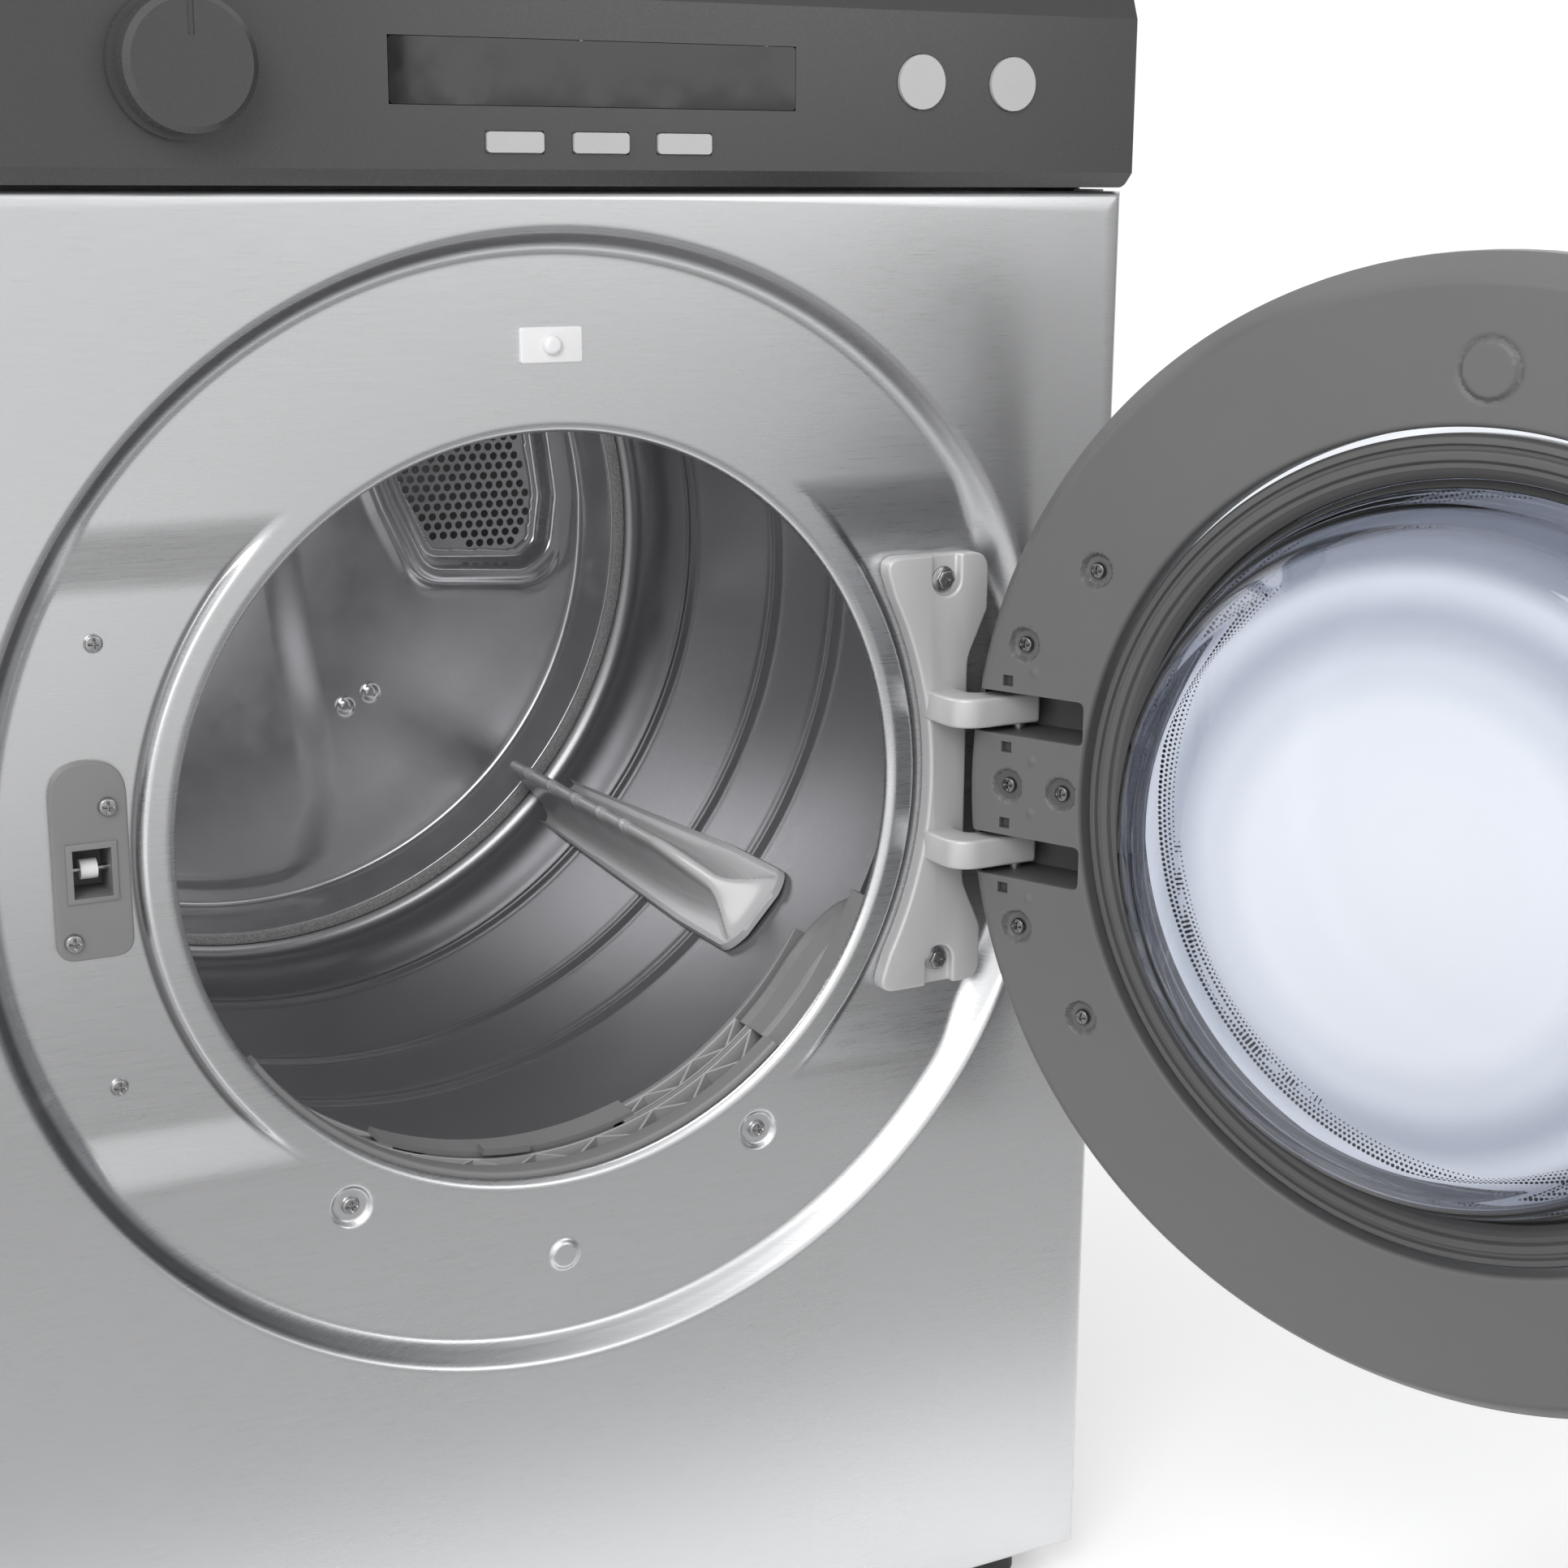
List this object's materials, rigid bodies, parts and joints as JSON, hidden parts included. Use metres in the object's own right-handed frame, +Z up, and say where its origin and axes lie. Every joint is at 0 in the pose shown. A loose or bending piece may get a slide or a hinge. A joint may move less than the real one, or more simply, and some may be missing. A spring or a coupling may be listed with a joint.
{
  "type": "clothes dryer",
  "caption": "Front-loading clothes dryer with an open round glass door, stainless front, tumbling drum with lifters, lint filter, belt drive and rear exhaust.",
  "frame": {"origin": "on the floor, midway between the four levelling feet", "axes": "+Z up, +X to the right of someone facing the door, +Y to the back; the door is on the -Y side"},
  "size_m": [0.8755, 1.3249, 0.984],
  "materials": {
    "belt_rubber": "matte",
    "bulkhead_steel": "smooth satin",
    "cabinet_paint": "satin paint",
    "catch_plastic": "acetal",
    "display_glass": "dark tinted",
    "door_plastic": "fine moulded grain",
    "door_trim": "satin grey",
    "drum_steel": "satin stainless",
    "duct_aluminium": "rolled",
    "fascia_plastic": "satin dark",
    "felt": "wool felt",
    "foot_rubber": "matte",
    "galvanised": "zinc-coated, dull",
    "heater_alloy": "heat-darkened sheath",
    "hinge_casting": "satin grey coating on a casting",
    "key_plastic": "satin silver",
    "latch_plastic": "fine moulded grain",
    "lifter_plastic": "translucent grey",
    "lint_plastic": "moulded satin",
    "motor_steel": "satin grey",
    "pin_steel": "plated",
    "pulley_plastic": "natural nylon",
    "roller_rubber": "matte",
    "seal_rubber": "smooth grey",
    "stainless_front": "horizontally brushed",
    "white_plastic": "moulded",
    "window_glass": "clear, faint blue tint"
  },
  "bodies": {
    "cabinet": {"air_grille": "bulkhead_steel", "base_pan": "galvanised", "blower_housing": "lint_plastic", "cabinet_screws": "pin_steel", "control_fascia": "fascia_plastic", "display_window": "display_glass", "door_switch": "white_plastic", "drum_belt": "belt_rubber", "exhaust_duct": "duct_aluminium", "felt_seals": "felt", "front_bulkhead": "galvanised", "front_panel": "stainless_front", "heater_duct": "galvanised", "heater_element": "heater_alloy", "hinge_bracket": "hinge_casting", "latch_cover": "latch_plastic", "latch_housing": "latch_plastic", "latch_pin": "pin_steel", "lint_duct": "lint_plastic", "lint_grille": "lint_plastic", "lint_housing": "lint_plastic", "motor": "motor_steel", "rear_bulkhead": "bulkhead_steel", "rear_panel": "galvanised", "roller_mounts": "galvanised", "side_panel_left": "cabinet_paint", "side_panel_right": "cabinet_paint", "top_panel": "cabinet_paint"},
    "door": {"door_inner_frame": "door_plastic", "door_outer_ring": "door_trim", "door_window": "window_glass", "door_glass": "window_glass", "door_seal_ring": "seal_rubber", "hinge_receiver": "hinge_casting", "hinge_pins": "pin_steel", "door_catch": "catch_plastic", "door_screws": "pin_steel"},
    "drum": {"drum": "drum_steel", "drum_lifters": "lifter_plastic"},
    "roller_1": {"support_roller_1": "roller_rubber"},
    "roller_2": {"support_roller_2": "roller_rubber"},
    "roller_3": {"support_roller_3": "roller_rubber"},
    "roller_4": {"support_roller_4": "roller_rubber"},
    "rotor": {"rotor_shaft": "motor_steel", "blower_wheel": "lint_plastic"},
    "idler_lever": {"idler_arm": "galvanised"},
    "idler_wheel": {"idler_pulley": "pulley_plastic"},
    "filter": {"lint_filter": "lint_plastic"},
    "switch_plunger": {"door_switch_plunger": "white_plastic"},
    "latch_wheel": {"latch_roller": "white_plastic"},
    "knob": {"cycle_knob": "fascia_plastic"},
    "start": {"start_button": "key_plastic"},
    "power": {"power_button": "key_plastic"},
    "key_1": {"option_key_1": "key_plastic"},
    "key_2": {"option_key_2": "key_plastic"},
    "key_3": {"option_key_3": "key_plastic"},
    "foot_fl": {"foot_front_left": "foot_rubber"},
    "foot_fr": {"foot_front_right": "foot_rubber"},
    "foot_rl": {"foot_rear_left": "foot_rubber"},
    "foot_rr": {"foot_rear_right": "foot_rubber"}
  },
  "joints": [
    {"name": "door_hinge", "type": "hinge", "parent": "cabinet", "child": "door", "pos_m": [0.272, -0.392, 0.54], "axis": [0, 0, 1], "range_deg": [-115, 13]},
    {"name": "drum_spin", "type": "hinge", "parent": "cabinet", "child": "drum", "pos_m": [0, -0.045, 0.612], "axis": [0, 1, 0], "continuous": true},
    {"name": "roller_1_spin", "type": "hinge", "parent": "cabinet", "child": "roller_1", "pos_m": [0.20207, -0.263, 0.32341], "axis": [0, 1, 0], "continuous": true},
    {"name": "roller_2_spin", "type": "hinge", "parent": "cabinet", "child": "roller_2", "pos_m": [-0.20207, -0.263, 0.32341], "axis": [0, 1, 0], "continuous": true},
    {"name": "roller_3_spin", "type": "hinge", "parent": "cabinet", "child": "roller_3", "pos_m": [0.20207, 0.149, 0.32341], "axis": [0, 1, 0], "continuous": true},
    {"name": "roller_4_spin", "type": "hinge", "parent": "cabinet", "child": "roller_4", "pos_m": [-0.20207, 0.149, 0.32341], "axis": [0, 1, 0], "continuous": true},
    {"name": "motor_spin", "type": "hinge", "parent": "cabinet", "child": "rotor", "pos_m": [0.112, -0.145, 0.14], "axis": [0, 1, 0], "continuous": true},
    {"name": "idler_swing", "type": "hinge", "parent": "cabinet", "child": "idler_lever", "pos_m": [0.232, -0.026, 0.12], "axis": [0, 1, 0], "range_deg": [0, 6], "stiffness_Nm_per_rad": 40, "springref_deg": -5.73},
    {"name": "idler_spin", "type": "hinge", "parent": "idler_lever", "child": "idler_wheel", "pos_m": [0.184, -0.04, 0.23], "axis": [0, 1, 0], "continuous": true},
    {"name": "lint_filter_pull", "type": "slide", "parent": "cabinet", "child": "filter", "axis": [0, 0, 1], "range_m": [0, 0.19]},
    {"name": "door_switch_press", "type": "slide", "parent": "cabinet", "child": "switch_plunger", "axis": [0, 1, 0], "range_m": [0, 0.003], "stiffness_N_per_m": 250, "springref_m": -0.002},
    {"name": "latch_roller_spin", "type": "hinge", "parent": "cabinet", "child": "latch_wheel", "pos_m": [-0.246, -0.35, 0.54], "axis": [1, 0, 0], "continuous": true},
    {"name": "cycle_knob_turn", "type": "hinge", "parent": "cabinet", "child": "knob", "pos_m": [-0.19, -0.375, 0.922], "axis": [0, 1, 0], "continuous": true},
    {"name": "start_press", "type": "slide", "parent": "cabinet", "child": "start", "axis": [0, 1, 0], "range_m": [0, 0.0012], "stiffness_N_per_m": 400, "springref_m": -0.001},
    {"name": "power_press", "type": "slide", "parent": "cabinet", "child": "power", "axis": [0, 1, 0], "range_m": [0, 0.0012], "stiffness_N_per_m": 400, "springref_m": -0.001},
    {"name": "key_1_press", "type": "slide", "parent": "cabinet", "child": "key_1", "axis": [0, 1, 0], "range_m": [0, 0.0012], "stiffness_N_per_m": 400, "springref_m": -0.001},
    {"name": "key_2_press", "type": "slide", "parent": "cabinet", "child": "key_2", "axis": [0, 1, 0], "range_m": [0, 0.0012], "stiffness_N_per_m": 400, "springref_m": -0.001},
    {"name": "key_3_press", "type": "slide", "parent": "cabinet", "child": "key_3", "axis": [0, 1, 0], "range_m": [0, 0.0012], "stiffness_N_per_m": 400, "springref_m": -0.001},
    {"name": "foot_fl_adjust", "type": "slide", "parent": "cabinet", "child": "foot_fl", "axis": [0, 0, -1], "range_m": [0, 0.02]},
    {"name": "foot_fr_adjust", "type": "slide", "parent": "cabinet", "child": "foot_fr", "axis": [0, 0, -1], "range_m": [0, 0.02]},
    {"name": "foot_rl_adjust", "type": "slide", "parent": "cabinet", "child": "foot_rl", "axis": [0, 0, -1], "range_m": [0, 0.02]},
    {"name": "foot_rr_adjust", "type": "slide", "parent": "cabinet", "child": "foot_rr", "axis": [0, 0, -1], "range_m": [0, 0.02]}
  ],
  "couplings": [
    {"joint": "roller_1_spin", "follows": "drum_spin", "ratio": -10},
    {"joint": "roller_2_spin", "follows": "drum_spin", "ratio": -10},
    {"joint": "roller_3_spin", "follows": "drum_spin", "ratio": -10},
    {"joint": "roller_4_spin", "follows": "drum_spin", "ratio": -10},
    {"joint": "motor_spin", "follows": "drum_spin", "ratio": 26.667},
    {"joint": "idler_spin", "follows": "drum_spin", "ratio": -12.8}
  ]
}
